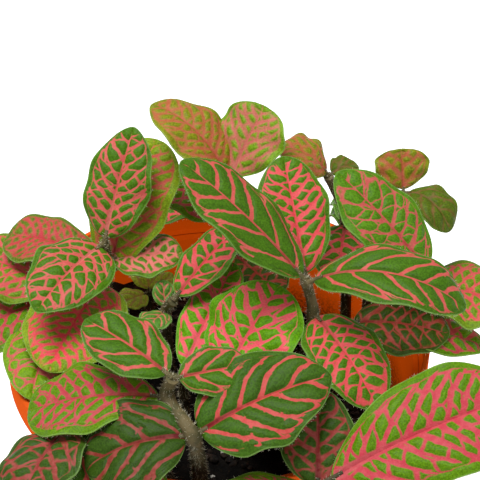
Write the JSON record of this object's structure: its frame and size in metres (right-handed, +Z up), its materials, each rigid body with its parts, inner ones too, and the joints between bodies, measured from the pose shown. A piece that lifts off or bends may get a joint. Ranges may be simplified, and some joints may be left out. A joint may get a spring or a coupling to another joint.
{
  "type": "potted nerve plant",
  "caption": "Bushy low house plant with net-veined oval leaves in pairs on rooted stems, growing in soil in a tapered round plastic nursery pot.",
  "frame": {"origin": "centre of the pot's flat underside", "axes": "+Z up, +X to the right, -Y towards the side that the picture looks at"},
  "size_m": [0.1428, 0.1446, 0.1424],
  "materials": {
    "pot": "satin moulded orange plastic",
    "soil": "rough dark peat with pale grains",
    "leaves": "soft satin leaf, green with pink net veins"
  },
  "bodies": {
    "root": {"pot": "pot", "soil": "soil", "shoot_left_back": "leaves", "shoot_left": "leaves", "shoot_centre": "leaves", "shoot_front": "leaves", "shoot_front_centre": "leaves", "shoot_mid_left": "leaves", "shoot_mid": "leaves", "shoot_front_right": "leaves", "shoot_right": "leaves", "shoot_right_mid": "leaves", "shoot_back": "leaves", "shoot_back_right": "leaves", "shoot_young": "leaves", "shoot_front_left": "leaves", "shoot_front_low": "leaves", "shoot_rear_left": "leaves", "shoot_rear": "leaves", "shoot_rear_right": "leaves"}
  },
  "joints": []
}
